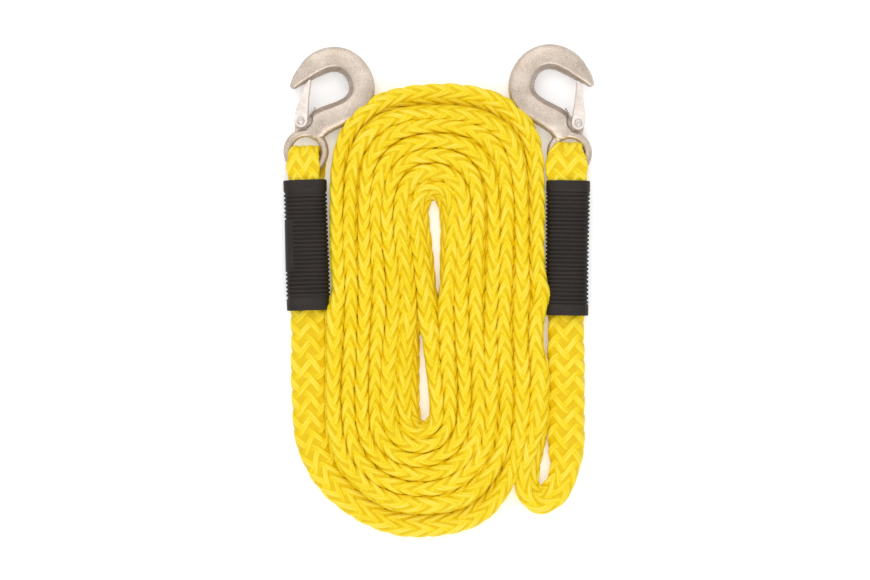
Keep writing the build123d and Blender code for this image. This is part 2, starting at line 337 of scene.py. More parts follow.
def section_frames(line):
    """Level side and up direction at each point of a line."""
    tangent = np.gradient(line, axis=0)
    tangent /= np.linalg.norm(tangent, axis=1)[:, None]
    side = np.cross(tangent, (0, 0, 1.0))
    side /= np.linalg.norm(side, axis=1)[:, None]
    up = np.cross(side, tangent)
    return side, up


def hash01(n, seed):
    """A fixed scatter of numbers from 0 to 1, one for each whole number."""
    x = np.sin(n * 12.9898 + seed * 78.233) * 43758.5453
    return x - np.floor(x)


def braid_relief(turn, axial, plait, bundle):
    """Height of the braid's yarns in millimetres, and what the material needs: depth, tone, family and yarn
    coordinates.

    turn is the place round the rope, 0 at its crest, and axial the place along it in yarn lays. Eight
    carriers run half one way and half the other, over one and under one. Each carries a pair of plump
    ribbons, bundle wide as a share of the carriers' spacing, with a dip beside them. plait, from 0 to 1.5,
    is how much steeper a carrier lies while it is on top.
    """
    phase = np.pi * (2 * CARRIERS * turn - 0.5)
    over = np.cos(phase)
    steeper = plait * np.sin(phase) / (2 * np.pi)
    qa = CARRIERS * (turn - axial) + steeper + STAGGER / 2
    qb = CARRIERS * (turn + axial) - steeper + STAGGER / 2

    def family(q, lift, seed):
        x = np.abs(q - np.floor(q) - 0.5)
        ribbon = np.sqrt(np.clip(1 - ((x - bundle / 4) / (bundle / 4)) ** 2, 0, 1))
        lobe = (0.5 + 0.5 * np.cos(2 * np.pi * x)) ** (2.4 - 2.3 * bundle)
        strength = 0.8 + 0.4 * hash01(np.floor(q) % 4096, seed)
        height = 0.42 * lift + 0.85 * strength * lobe + 0.17 * ribbon
        return height, hash01(np.floor(2 * q) % 4096, seed + 3.0)

    ha, tone_a = family(qa, over, 1.0)
    hb, tone_b = family(qb, -over, 2.0)
    is_a = ha > hb
    height = np.maximum(ha, hb)
    # depth, the yarns' height from 0 to 1, is what the material turns into painted shade in the dips and
    # painted highlight on the high ribbons.
    depth = np.clip((height - 0.15) / 1.2, 0, 1)
    tone = np.where(is_a, tone_a, tone_b)
    return height, depth, tone, is_a, qa, qb


def braid_tube(name, s, line, wide, thick, roll, around=96, relief=1.0, lay=LAY, shift=0.0, frames=None):
    """The braided rope's skin along a line, with the yarns in relief."""
    side, up = frames or section_frames(line)
    turn = (np.arange(around) / around) - 0.5
    fine = np.linspace(0, 2 * np.pi, 241)
    cos_f, sin_f = np.cos(fine), np.sin(fine)
    flat_lying = np.clip((wide - 9.0) / 2.0, 0, 1)
    rows = len(line)
    long_side = np.empty((rows, around))
    short_side = np.empty((rows, around))
    square_cos, square_sin = squared(cos_f, SECTION_POWER), squared(sin_f, SECTION_POWER)
    for i in range(rows):
        x = square_cos * (wide[i] - relief * RELIEF_BASE)
        y = square_sin * (thick[i] - relief * RELIEF_BASE)
        length = np.concatenate([[0], np.cumsum(np.hypot(np.diff(x), np.diff(y)))])
        at = (turn % 1.0) * length[-1]
        long_side[i] = np.interp(at, length, x)
        short_side[i] = np.interp(at, length, y)
    d_long = np.roll(long_side, -1, 1) - np.roll(long_side, 1, 1)
    d_short = np.roll(short_side, -1, 1) - np.roll(short_side, 1, 1)
    size = np.hypot(d_long, d_short)
    out_long, out_short = d_short / size, -d_long / size
    wobble = 0.012 * np.sin(s / 17.0) + 0.01 * np.sin(s / 41.0 + 1.0) + 0.007 * np.sin(s / 5.3)
    axial = (s / lay + shift + wobble)[:, None] + 0 * turn[None]
    drift = 0.02 * np.sin(s / 67.0) + 0.012 * np.sin(s / 29.0 + 2.0) + 0.006 * np.sin(s / 7.1)
    plait = 1.15 - 0.75 * flat_lying
    bundle = 0.74 - 0.22 * flat_lying
    place = turn[None] + drift[:, None]
    height, depth, tone, is_a, qa, qb = braid_relief(place, axial, plait[:, None], bundle[:, None])
    height = height * relief
    long_side = long_side + out_long * height
    short_side = short_side + out_short * height
    angle = np.radians(roll)[:, None]
    across = short_side * np.cos(angle) + long_side * np.sin(angle)
    rise = long_side * np.cos(angle) - short_side * np.sin(angle)
    co = line[:, None] + side[:, None] * across[..., None] + up[:, None] * rise[..., None]
    co[..., 2] = np.maximum(co[..., 2], 0.0)
    verts = co.reshape(-1, 3)
    faces = ring_faces(rows, around)
    quads = faces.tolist()
    first, last = len(verts), len(verts) + 1
    verts = np.concatenate([verts, line[:1], line[-1:]])
    base = (rows - 1) * around
    for j in range(around):
        k = (j + 1) % around
        quads.append([first, k, j])
        quads.append([last, base + j, base + k])
    obj = new_mesh(name, verts, quads)
    fields = {"depth": depth, "tone": tone, "fam": is_a.astype(float), "qa": qa, "qb": qb}
    fields["run"] = (s[:, None] + 0 * qa) / 10
    fields["bundle"] = bundle[:, None] + 0 * qa
    for key, value in fields.items():
        data = np.concatenate([value.reshape(-1), [value.flat[0], value.flat[-1]]]).astype(np.float32)
        obj.data.attributes.new(key, "FLOAT", "POINT").data.foreach_set("value", data)
    return obj


# --- materials --------------------------------------------------------------------------------------------


class Nodes:
    """A short way to write a material's node tree."""

    def __init__(self, name):
        self.material = bpy.data.materials.new(name)
        self.material.use_nodes = True
        self.tree = self.material.node_tree
        self.tree.nodes.clear()
        self.out = self.add("ShaderNodeOutputMaterial")
        self.bsdf = self.add("ShaderNodeBsdfPrincipled")
        self.tree.links.new(self.bsdf.outputs[0], self.out.inputs[0])

    def add(self, kind, **values):
        """One node."""
        node = self.tree.nodes.new(kind)
        for key, value in values.items():
            setattr(node, key, value)
        return node

    def set(self, socket, value):
        """Link an output to a socket, or give the socket a plain value."""
        if hasattr(value, "is_output"):
            self.tree.links.new(value, socket)
        else:
            socket.default_value = value

    def math(self, operation, a, b=0.0):
        """Arithmetic on two values."""
        node = self.add("ShaderNodeMath", operation=operation)
        for socket, value in zip(node.inputs, (a, b)):
            self.set(socket, value)
        return node.outputs[0]

    def attribute(self, name):
        """A value stored on the mesh's points."""
        return self.add("ShaderNodeAttribute", attribute_name=name).outputs["Fac"]

    def combine(self, x, y, z):
        """A vector from three values."""
        node = self.add("ShaderNodeCombineXYZ")
        for socket, value in zip(node.inputs, (x, y, z)):
            self.set(socket, value)
        return node.outputs[0]

    def noise(self, vector, scale, detail=3.0, roughness=0.5):
        """Soft noise from 0 to 1."""
        node = self.add("ShaderNodeTexNoise")
        self.set(node.inputs["Vector"], vector)
        node.inputs["Scale"].default_value = scale
        node.inputs["Detail"].default_value = detail
        node.inputs["Roughness"].default_value = roughness
        return node.outputs["Fac"]

    def mix(self, factor, a, b, blend):
        """Two colours blended."""
        node = self.add("ShaderNodeMix", data_type="RGBA", blend_type=blend)
        self.set(node.inputs[0], factor)
        for socket, value in ((node.inputs[6], a), (node.inputs[7], b)):
            self.set(socket, value if hasattr(value, "is_output") else (*value, 1.0))
        return node.outputs[2]

    def ramp(self, factor, stops):
        """The colour that a value gives, between stops of place and colour."""
        node = self.add("ShaderNodeValToRGB")
        self.set(node.inputs[0], factor)
        elements = node.color_ramp.elements
        while len(elements) < len(stops):
            elements.new(0.5)
        for element, (place, colour) in zip(elements, stops):
            element.position = place
            element.color = (*colour, 1.0)
        return node.outputs[0]

    def range(self, value, low, high, to_low, to_high):
        """A value carried from one range to another."""
        node = self.add("ShaderNodeMapRange")
        for socket, v in zip(node.inputs, (value, low, high, to_low, to_high)):
            self.set(socket, v)
        return node.outputs[0]

    def bump(self, height, strength, distance, normal=None):
        """A normal that a height tilts, over another bump if one is given."""
        node = self.add("ShaderNodeBump")
        node.inputs["Strength"].default_value = strength
        node.inputs["Distance"].default_value = distance
        self.set(node.inputs["Height"], height)
        if normal is not None:
            self.set(node.inputs["Normal"], normal)
        return node.outputs[0]

    def place(self):
        """The point on the piece, in metres."""
        return self.add("ShaderNodeTexCoord").outputs["Object"]


# The yarn's yellows, from a deep amber painted shade for the dips to a pale painted highlight for the high
# ribbons.
YARN_YELLOWS = [
    (0.22, (0.78, 0.52, 0.0)),
    (0.36, (0.83, 0.585, 0.001)),
    (0.52, (0.89, 0.665, 0.008)),
    (0.7, (0.96, 0.76, 0.09)),
]


def rope_material():
    """Glossy yellow polypropylene: a pale painted highlight where the yarns ride high, deep amber painted
    shade where they dip.
    """
    n = Nodes("rope_yarn")
    depth, tone, fam = n.attribute("depth"), n.attribute("tone"), n.attribute("fam")
    run = n.attribute("run")
    pick = n.math("GREATER_THAN", fam, 0.5)
    back = n.math("SUBTRACT", 1.0, pick)
    yarn_a = n.math("MULTIPLY", n.attribute("qa"), pick)
    yarn_b = n.math("MULTIPLY", n.attribute("qb"), back)
    yarn = n.math("ADD", yarn_a, yarn_b)
    aside = n.math("ABSOLUTE", n.math("SUBTRACT", n.math("FRACT", yarn), 0.5))
    half = n.math("MULTIPLY", n.attribute("bundle"), 0.25)
    edge = n.math("DIVIDE", n.math("SUBTRACT", aside, half), half)
    round_top = n.math("SUBTRACT", 1.0, n.math("MULTIPLY", edge, edge))
    crown = n.math("SQRT", n.math("MAXIMUM", round_top, 0.0))
    along_fibres = n.combine(n.math("MULTIPLY", yarn, 26.0), n.math("MULTIPLY", run, 1.1), fam)
    along_streaks = n.combine(n.math("MULTIPLY", yarn, 9.0), n.math("MULTIPLY", run, 0.6), fam)
    fibre = n.noise(along_fibres, 1.0, 4.0, 0.65)
    streak = n.noise(along_streaks, 1.0, 2.0)
    cloud = n.noise(n.place(), 22.0, 2.0)
    light = n.math("ADD", n.math("MULTIPLY", fibre, 0.34), n.math("MULTIPLY", streak, 0.24))
    light = n.math("ADD", light, n.math("MULTIPLY", tone, 0.12))
    light = n.math("ADD", light, n.math("MULTIPLY", cloud, 0.1))
    # Painted shade where the yarns dip and painted highlight where they ride high, from the yarns' height.
    light = n.math("ADD", light, n.math("MULTIPLY", n.math("SUBTRACT", depth, 0.5), 0.28))
    # Painted highlight along the crown of each ribbon.
    light = n.math("ADD", light, n.math("MULTIPLY", n.math("SUBTRACT", crown, 0.55), 0.22))
    n.set(n.bsdf.inputs["Base Color"], n.ramp(light, YARN_YELLOWS))
    n.bsdf.inputs["Roughness"].default_value = 0.42
    n.bsdf.inputs["Specular IOR Level"].default_value = 0.24
    normal = n.bump(crown, 0.4, 0.0004)
    n.set(n.bsdf.inputs["Normal"], n.bump(fibre, 0.55, 0.0004, normal))
    return n.material


# --- build the rope ---------------------------------------------------------------------------------------

STEADY_END = 60.0  # length next to each sleeve that lies straight, without sway or twist
SETTLE_EVERY = 3  # rows from one to the next that the pressing looks at

controls = rope_controls()
raw, place = spline_points("rope_route", controls)
index = np.arange(len(controls))
carried = np.stack([np.interp(place, index, controls[:, i]) for i in (3, 4, 5)], 1)
s, line, carried = resample(raw, carried, ROW_STEP)
wide, thick, roll = carried[:, 0], carried[:, 1], carried[:, 2]
loose = np.clip(np.minimum(s - STEADY_END, s[-1] - STEADY_END - s) / STEADY_END, 0, 1)
tangent = np.gradient(line, axis=0)
tangent /= np.linalg.norm(tangent, axis=1)[:, None]
# The rope sways a little from side to side and twists, as a rope laid by hand does.
sway = 0.34 * np.sin(s / 13.7 + 0.6) + 0.3 * np.sin(s / 22.3 + 2.0) + 0.22 * np.sin(s / 8.1)
line[:, 0] += -tangent[:, 1] * sway * loose
line[:, 1] += tangent[:, 0] * sway * loose
roll = roll + loose * (6.0 * np.sin(s / 31.0) + 5.0 * np.sin(s / 53.0 + 1.3))
wide = wide * (1 + 0.012 * np.sin(s / 19.0) + 0.01 * np.sin(s / 7.3))
coarse = slice(None, None, SETTLE_EVERY)
settled, fitted = settle(s[coarse], line[coarse].copy(), wide[coarse], thick[coarse], roll[coarse])
line = np.stack([np.interp(s, s[coarse], settled[:, i]) for i in range(3)], 1)
line = np.stack([smooth(line[:, i], 2) for i in range(3)], 1)
thick = np.interp(s, s[coarse], fitted)
lean = np.radians(np.abs(roll))
rise = (wide - thick) * np.cos(lean) + thick  # how high the middle must lie for the rope to rest on the floor
line[:, 2] = np.clip(line[:, 2], rise + 0.05, rise + 0.1)
rope = braid_tube("rope_braid", s, line, wide, thick, roll)
rope.data.materials.append(rope_material())
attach(rope, "rope")
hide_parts("rope_coil", "left_end_run", "right_end_run", "left_spliced_tail", "right_spliced_tail")

# --- where the metal and the sleeves lie, as in the CAD ---------------------------------------------------

HOOK_MID = 7.5  # height of the hooks' middle plane
EDGE_POWER, FACE_POWER = 2.7, 3.6  # how square the forging's section is across and through
RING_RADIUS, RING_BAR = 11.84, 2.75
# Shank, bowl and point from the ring on: the section's middle, its width and its thickness.
HOOK_SECTIONS = [
    ((1.6, 12.4), 8.6, 5.2),
    ((5.6, 14.2), 15.6, 9.8),
    ((9.9, 18.6), 17.6, 13.4),
    ((16.6, 21.9), 17.0, 14.6),
    ((24.0, 25.0), 16.4, 15.0),
    ((30.9, 29.0), 16.9, 15.0),
    ((35.3, 36.0), 16.7, 15.0),
    ((35.2, 44.8), 16.3, 15.0),
    ((30.5, 53.5), 15.8, 15.0),
    ((22.5, 58.4), 15.8, 14.8),
    ((13.6, 58.4), 15.8, 14.2),
    ((5.6, 54.7), 15.0, 13.0),
    ((-0.6, 49.6), 11.6, 11.0),
    ((-4.9, 45.7), 8.5, 9.0),
    ((-7.4, 42.8), 5.6, 7.4),
]
# How far the right hook's last sections stand higher than the left hook's.
RIGHT_POINT_RISE = [0.9, 0.9, 0.8, 0.9, 1.4, 2.3, 3.1, 3.6]
RIGHT_LATCH_LEAN = 5.5  # degrees the right latch rests further out than the left one
LUG_LOW, LUG_HIGH = 3.6, 8.6  # the lug carries the latch's pivot
LUG_MIDDLE = (-1.7, 19.6)
LUG_RADIUS = 5.2
SEAT_MIDDLE = (-1.1, 20.4)  # of the round cut that the latch's plates turn in
SEAT_RADIUS = 5.5
LUG_OUTLINE = [(-7.4, 18.6), (-6.8, 13.0), (-4.0, 11.6), (6.0, 12.0), (8.0, 21.0), (-1.0, 19.3)]
PIVOT = (-3.1, 19.3)
LATCH_LOW, LATCH_HIGH, SHEET = 2.0, 13.6, 1.2
LATCH_EYE = 4.2
LATCH_PLATE = [(-7.15, 20.4), (-6.85, 24.6), (0.1, 42.9), (2.3, 45.6), (3.3, 45.2), (1.9, 34.9), (1.1, 19.3)]
LATCH_WEB = [(-6.35, 25.9), (-0.3, 41.9), (0.8, 41.4), (-5.2, 25.5)]
HEAD_RADIUS = 2.5
HEAD_GAP = 0.08  # between a rivet head and the latch
WIRE, COIL_RADIUS, COIL_PITCH, COIL_LOW = 1.0, 2.6, 1.1, 9.15
COIL_TURN = 865.0  # degrees
RINGS = {"left": (-84.8, 88.7), "right": (83.8, 87.7)}
TURNS = {"left": 0.0, "right": -7.0}  # degrees
SLEEVES = {"left": ((-83.0, -13.0), (-85.5, 70.3)), "right": ((81.8, -16.3), (83.0, 69.9))}
SLEEVE_WIDE, SLEEVE_TALL, COLLAR = 27.8, 17.0, 7.3
SLEEVE_POWER = 3.0  # how square its section is
SLEEVE_WALL, SLEEVE_MOUTH = 1.9, 1.6  # wall within and at the mouths
PANEL_LENGTH = 32.0  # of the plain panel on the left sleeve
PANEL_PLACE = 0.49  # of the panel's middle, as a share of the sleeve's length
RIB_PITCH, RIB_WIDTH, RIB_DEPTH = 2.65, 1.5, 0.9


def carry(points, side):
    """Points in a hook's own frame, in millimetres, carried to where that hook lies."""
    points = np.array(points, float).reshape(-1, 3)
    if side == "right":
        points = points * (-1.0, 1.0, 1.0)
    angle = math.radians(TURNS[side])
    c, t = math.cos(angle), math.sin(angle)
    x = points[:, 0] * c - points[:, 1] * t + RINGS[side][0]
    y = points[:, 0] * t + points[:, 1] * c + RINGS[side][1]
    return np.stack([x, y, points[:, 2]], 1)


def catmull(rows, sub):
    """A smooth line of rows through the given rows."""
    rows = np.array(rows, float)
    out = []
    for i in range(len(rows) - 1):
        a, b, c, d = (rows[min(max(j, 0), len(rows) - 1)] for j in (i - 1, i, i + 1, i + 2))
        for k in range(sub):
            t = k / sub
            square = (2 * a - 5 * b + 4 * c - d) * t**2
            cube = (3 * b - a - 3 * c + d) * t**3
            out.append(0.5 * (2 * b + (c - a) * t + square + cube))
    out.append(rows[-1])
    return np.array(out)


def tube_mesh(name, rings):
    """A closed skin over rings of points."""
    rows, around = len(rings), len(rings[0])
    verts = np.concatenate([np.concatenate(rings), [np.mean(rings[0], 0)], [np.mean(rings[-1], 0)]])
    quads = ring_faces(rows, around).tolist()
    base = (rows - 1) * around
    for j in range(around):
        k = (j + 1) % around
        quads.append([rows * around, k, j])
        quads.append([rows * around + 1, base + j, base + k])
    return new_mesh(name, verts, quads)


def forged_section(width, thickness, count=48):
    """The hook's section: a domed face, a rounded outer edge and a bevel along the inner edge."""
    angle = np.linspace(0, 2 * np.pi, count, endpoint=False)
    u, v = squared(np.cos(angle), EDGE_POWER), squared(np.sin(angle), FACE_POWER)
    limit = 0.34 + (u + 1) * 1.5
    v = np.sign(v) * np.minimum(np.abs(v), limit)
    return u * width / 2, v * thickness / 2


def prism_mesh(name, outline, low, high):
    """A closed block over an outline."""
    n = len(outline)
    verts = [(x, y, z) for z in (low, high) for x, y in outline]
    faces = [list(range(n))[::-1], list(range(n, 2 * n))]
    faces += [[i, (i + 1) % n, n + (i + 1) % n, n + i] for i in range(n)]
    return new_mesh(name, verts, faces, False)


def circle_outline(centre, radius, count=48):
    """Points round a circle."""
    angles = [2 * math.pi * i / count for i in range(count)]
    return [(centre[0] + radius * math.cos(a), centre[1] + radius * math.sin(a)) for a in angles]


def apply_modifiers(obj):
    """Replace an object's mesh with what its modifiers make."""
    bpy.context.view_layer.update()
    evaluated = obj.evaluated_get(bpy.context.evaluated_depsgraph_get())
    mesh = bpy.data.meshes.new_from_object(evaluated)
    obj.modifiers.clear()
    old = obj.data
    obj.data = mesh
    bpy.data.meshes.remove(old)


def join(name, objects):
    """One object from several."""
    built = bmesh.new()
    for obj in objects:
        built.from_mesh(obj.data)
        mesh = obj.data
        bpy.data.objects.remove(obj)
        bpy.data.meshes.remove(mesh)
    mesh = bpy.data.meshes.new(name)
    built.to_mesh(mesh)
    built.free()
    obj = bpy.data.objects.new(name, mesh)
    bpy.context.scene.collection.objects.link(obj)
    return obj


def cut(obj, cutters):
    """Take the cutters out of an object."""
    for cutter in cutters:
        modifier = obj.modifiers.new("cut", "BOOLEAN")
        modifier.operation = "DIFFERENCE"
        modifier.solver = "EXACT"
        modifier.object = cutter
    apply_modifiers(obj)


def torus_mesh(name, count=96, around=32):
    """The hook's round ring, with its middle at the origin."""
    verts = []
    for a in np.linspace(0, 2 * np.pi, count + 1)[:-1]:
        for b in np.linspace(0, 2 * np.pi, around + 1)[:-1]:
            out = RING_RADIUS + RING_BAR * math.cos(b)
            verts.append((out * math.cos(a), out * math.sin(a), HOOK_MID + RING_BAR * math.sin(b)))
    faces = []
    for i in range(count):
        here, there = i * around, (i + 1) % count * around
        for j in range(around):
            k = (j + 1) % around
            faces.append([here + j, there + j, there + k, here + k])
    return new_mesh(name, verts, faces)


def hook_mesh(side):
    """The forging as one smooth piece: shank, bowl and point, ring and lug."""
    sections = [[*middle, width, thick] for middle, width, thick in HOOK_SECTIONS]
    if side == "right":
        for section, rise in zip(sections[-len(RIGHT_POINT_RISE) :], RIGHT_POINT_RISE):
            section[1] += rise
    rows = catmull(sections, 6)
    ends = [(1.4, 0.9), (2.4, 0.66), (3.0, 0.3)]
    along = np.gradient(rows[:, :2], axis=0)
    along /= np.linalg.norm(along, axis=1)[:, None]
    tips = [(*(rows[-1, :2] + along[-1] * far), rows[-1, 2] * size, rows[-1, 3] * size) for far, size in ends]
    rows = np.concatenate([rows, tips])
    along = np.concatenate([along, np.repeat(along[-1:], len(tips), 0)])
    rings = []
    for (x, y, width, thick), (ax, ay) in zip(rows, along):
        u, v = forged_section(width, thick)
        ring = np.stack([x + ay * u, y - ax * u, HOOK_MID + v], 1)
        rings.append(ring)
    bowl = tube_mesh("bowl", rings)
    eye = torus_mesh("eye")
    seat = circle_outline(SEAT_MIDDLE, SEAT_RADIUS)
    cutters = [prism_mesh("cut_high", seat, LUG_HIGH, 20), prism_mesh("cut_low", seat, -5, LUG_LOW)]
    cut(bowl, cutters)
    cut(eye, cutters)
    for cutter in cutters:
        bpy.data.objects.remove(cutter)
    lug = prism_mesh("lug", LUG_OUTLINE, LUG_LOW, LUG_HIGH)
    boss = prism_mesh("boss", circle_outline(LUG_MIDDLE, LUG_RADIUS), LUG_LOW, LUG_HIGH)
    hook = join(f"{side}_hook_forging", [bowl, eye, lug, boss])
    remesh = hook.modifiers.new("remesh", "REMESH")
    remesh.mode = "VOXEL"
    remesh.voxel_size = 0.45 * MM
    remesh.use_smooth_shade = True
    soften = hook.modifiers.new("soften", "SMOOTH")
    soften.factor = 0.5
    soften.iterations = 7
    apply_modifiers(hook)
    carry_mesh(hook, side)
    if side == "right":
        hook.data.flip_normals()
    hook.data.update()
    return hook


def latch_mesh(side):
    """Pressed channel: two plates with round eyes, joined by the web along the outer side."""
    x, y = PIVOT
    lower_half = np.radians(np.arange(190, 351, 10))
    eye = [(x + LATCH_EYE * math.cos(a), y + LATCH_EYE * math.sin(a)) for a in lower_half]
    body = LATCH_PLATE[::-1] + eye
    upper = prism_mesh("plate", body, LATCH_HIGH - SHEET, LATCH_HIGH)
    lower = prism_mesh("plate", body, LATCH_LOW, LATCH_LOW + SHEET)
    web = prism_mesh("web", LATCH_WEB, LATCH_LOW + 0.2, LATCH_HIGH - 0.2)
    latch = join(f"{side}_latch_channel", [upper, lower, web])
    face_outwards(latch)
    bevel = latch.modifiers.new("bevel", "BEVEL")
    bevel.width = 0.3 * MM
    bevel.segments = 3
    bevel.limit_method = "ANGLE"
    apply_modifiers(latch)
    if side == "right":
        swing(latch, PIVOT, RIGHT_LATCH_LEAN)
    move_to_hook(latch, side)
    return latch


def swing(obj, centre, degrees):
    """Turns a mesh about an upright axis."""
    x, y = centre[0] * MM, centre[1] * MM
    there = Matrix.Translation((x, y, 0.0))
    obj.data.transform(there @ Matrix.Rotation(math.radians(degrees), 4, "Z") @ there.inverted())


def face_outwards(obj):
    """Turn every face outwards."""
    built = bmesh.new()
    built.from_mesh(obj.data)
    bmesh.ops.recalc_face_normals(built, faces=built.faces)
    built.to_mesh(obj.data)
    built.free()


def carry_mesh(obj, side):
    """Carries a mesh from a hook's own frame to where that hook lies."""
    co = np.empty(len(obj.data.vertices) * 3)
    obj.data.vertices.foreach_get("co", co)
    obj.data.vertices.foreach_set("co", (carry(co / MM, side) * MM).ravel())


def move_to_hook(obj, side):
    """Carries a small piece to its hook and turns its faces outwards."""
    carry_mesh(obj, side)
    face_outwards(obj)
    obj.data.update()


def rivet_mesh(side):
    """Rivet with a domed, dimpled head at each end."""
    dome = [(0.0, 0.55), (0.7, 0.6), (1.15, 0.95), (1.7, 0.9), (2.25, 0.6)]
    head = dome + [(HEAD_RADIUS, 0.2), (HEAD_RADIUS, 0.0), (1.6, -0.05)]
    high = LATCH_HIGH + HEAD_GAP
    low = LATCH_LOW - HEAD_GAP
    profile = [(r, high + h) for r, h in head] + [(r, low - h) for r, h in head[::-1]]
    rings = []
    angles = np.linspace(0, 2 * np.pi, 41)[:-1]
    for r, z in profile:
        r = max(r, 0.02)
        x, y = PIVOT[0] + r * np.cos(angles), PIVOT[1] + r * np.sin(angles)
        rings.append(np.stack([x, y, np.full(len(angles), z)], 1))
    rivet = tube_mesh(f"{side}_rivet", rings)
    move_to_hook(rivet, side)
    return rivet


def spring_mesh(side):
    """Torsion spring: coil round the rivet, a leg behind the latch's web and a leg over the shank's edge."""
    turn = np.radians(np.linspace(0, COIL_TURN, 150))
    rise = COIL_PITCH * turn / (2 * np.pi)
    x, y = PIVOT[0] - COIL_RADIUS * np.cos(turn), PIVOT[1] - COIL_RADIUS * np.sin(turn)
    coil = np.stack([x, y, COIL_LOW + rise], 1)
    start, end = coil[0], coil[-1]
    first = [(-2.6, 31.0, start[2]), (-4.2, 26.0, start[2]), (start[0], start[1] + 2.2, start[2])]
    last = [(5.4, 26.9, end[2]), (5.9, 27.7, end[2] - 1.2), (6.0, 27.9, 8.6)]
    line = np.concatenate([first, coil, last])
    length = np.concatenate([[0], np.cumsum(np.linalg.norm(np.diff(line, axis=0), axis=1))])
    even = np.linspace(0, length[-1], 220)
    line = np.stack([np.interp(even, length, line[:, i]) for i in range(3)], 1)
    tangent = np.gradient(line, axis=0)
    tangent /= np.linalg.norm(tangent, axis=1)[:, None]
    side_way = np.cross(tangent, (0.03, 0.02, 1.0))
    side_way /= np.linalg.norm(side_way, axis=1)[:, None]
    other = np.cross(side_way, tangent)
    around = np.linspace(0, 2 * np.pi, 13)[:-1]
    c, t = np.cos(around)[:, None], np.sin(around)[:, None]
    rings = [p + WIRE / 2 * (c * e + t * f) for p, e, f in zip(line, side_way, other)]
    spring = tube_mesh(f"{side}_spring", rings)
    move_to_hook(spring, side)
    return spring


def sleeve_mesh(side):
    """Ribbed rubber sleeve with plain collars, open at both ends."""
    (x0, y0), (x1, y1) = SLEEVES[side]
    start, along = np.array([x0, y0, SLEEVE_TALL / 2]), np.array([x1 - x0, y1 - y0, 0.0])
    length = np.linalg.norm(along)
    along /= length
    across = np.array([along[1], -along[0], 0.0])
    up = np.array([0, 0, 1.0])
    ribs = int((length - 2 * COLLAR) / RIB_PITCH)
    margin = (length - 2 * COLLAR - (ribs - 1) * RIB_PITCH) / 2
    # Distance along the sleeve and depth below its full size: a collar, the ribs and the other collar.
    depth_at = [(0.0, 0.5), (0.35, 0.12), (0.8, 0.0), (COLLAR - 0.3, 0.0), (COLLAR, 0.3)]
    for i in range(ribs):
        middle = COLLAR + margin + i * RIB_PITCH
        half = RIB_WIDTH / 2
        rib = [(half + 0.25, RIB_DEPTH), (half, 0.25), (half - 0.3, 0.0)]
        depth_at += [(middle - out, depth) for out, depth in rib]
        depth_at += [(middle + out, depth) for out, depth in rib[::-1]]
    depth_at += [(length - at, depth) for at, depth in depth_at[:5][::-1]]
    count = 96
    angle = np.linspace(0, 2 * np.pi, count, endpoint=False)
    base_x, base_z = squared(np.cos(angle), SLEEVE_POWER), squared(np.sin(angle), SLEEVE_POWER)
    panel = (side == "left") & (np.cos(angle) < -0.55)
    rings = []

    def ring(at, depth):
        bulge = 1.0 + 0.012 * math.sin(at / 13.0 + (0 if side == "left" else 2.0))
        x = base_x * ((SLEEVE_WIDE / 2) * bulge - depth)
        z = base_z * (SLEEVE_TALL / 2 - depth)
        return start + along * at + across * x[:, None] + up * z[:, None]

    for at, depth in depth_at:
        pad = depth * np.where(panel & (abs(at - length * PANEL_PLACE) < PANEL_LENGTH / 2), 0.0, 1.0)
        rings.append(ring(at, pad))
    inner = [(length, SLEEVE_MOUTH), (length - 3.0, SLEEVE_WALL), (3.0, SLEEVE_WALL), (0.0, SLEEVE_MOUTH)]
    rings += [ring(at, np.full(count, depth)) for at, depth in inner]
    rows = len(rings)
    faces = ring_faces(rows, count).tolist()
    base = (rows - 1) * count
    faces += [[base + j, base + (j + 1) % count, (j + 1) % count, j] for j in range(count)]
    sleeve = new_mesh(f"{side}_ribbed_sleeve", np.concatenate(rings), faces)
    face_outwards(sleeve)
    return sleeve


# Rope eyes: how far across from the ring's middle the upper and lower legs lie, half widths of the upper leg
# and at the sleeve, how far past the ring's middle the crest stands, and its share of the leg's width.
EYE_SHAPES = {
    "left": dict(upper=-1.6, lower=2.4, wide=10.9, foot=10.2, crest=1.5, shoulder=0.86),
    "right": dict(upper=-2.1, lower=-1.6, wide=13.9, foot=12.9, crest=4.7, shoulder=0.7),
}


def eye_mesh(side):
    """The rope eye: out of the sleeve, over the ring's bar, through the ring and back underneath."""
    shape = EYE_SHAPES[side]
    x, y = RINGS[side]
    foot = SLEEVES[side][1]
    upper, lower = x + shape["upper"], x + shape["lower"]
    crest = shape["wide"] * shape["shoulder"]
    controls = [
        (foot[0], foot[1] - 16.0, 11.4, 9.6, 2.7),
        (foot[0], foot[1] - 6.0, 11.5, 9.6, 2.8),
        (foot[0] * 0.5 + upper * 0.5, foot[1] + 1.0, 12.2, shape["foot"], 2.9),
        (upper, y - 11.8, 13.1, shape["wide"], 2.6),
        (upper, y - 4.0, 12.8, shape["wide"] * 0.98, 2.7),
        (upper * 0.6 + x * 0.4, y + shape["crest"] - 1.2, 10.9, crest, 2.7),
        (x, y + shape["crest"] + 0.2, 7.6, crest * 0.96, 2.7),
        (x * 0.5 + lower * 0.5, y + shape["crest"] - 1.6, 4.2, crest, 2.6),
        (lower, y - 5.0, 2.7, 10.4, 2.4),
        (lower, y - 11.8, 2.45, 10.4, 2.3),
        (foot[0] * 0.5 + lower * 0.5, foot[1] + 1.0, 3.4, shape["foot"], 2.6),
        (foot[0], foot[1] - 6.0, 5.2, 9.6, 2.7),
        (foot[0], foot[1] - 16.0, 5.4, 9.6, 2.7),
    ]
    controls = np.array(controls)
    raw, place = spline_points(f"{side}_eye_route", controls)
    at = np.arange(len(controls))
    values = np.stack([np.interp(place, at, controls[:, i]) for i in (3, 4)], 1)
    s, line, values = resample(raw, values, 0.9)
    return eye_tube(f"{side}_rope_eye", s, line, values[:, 0], values[:, 1])


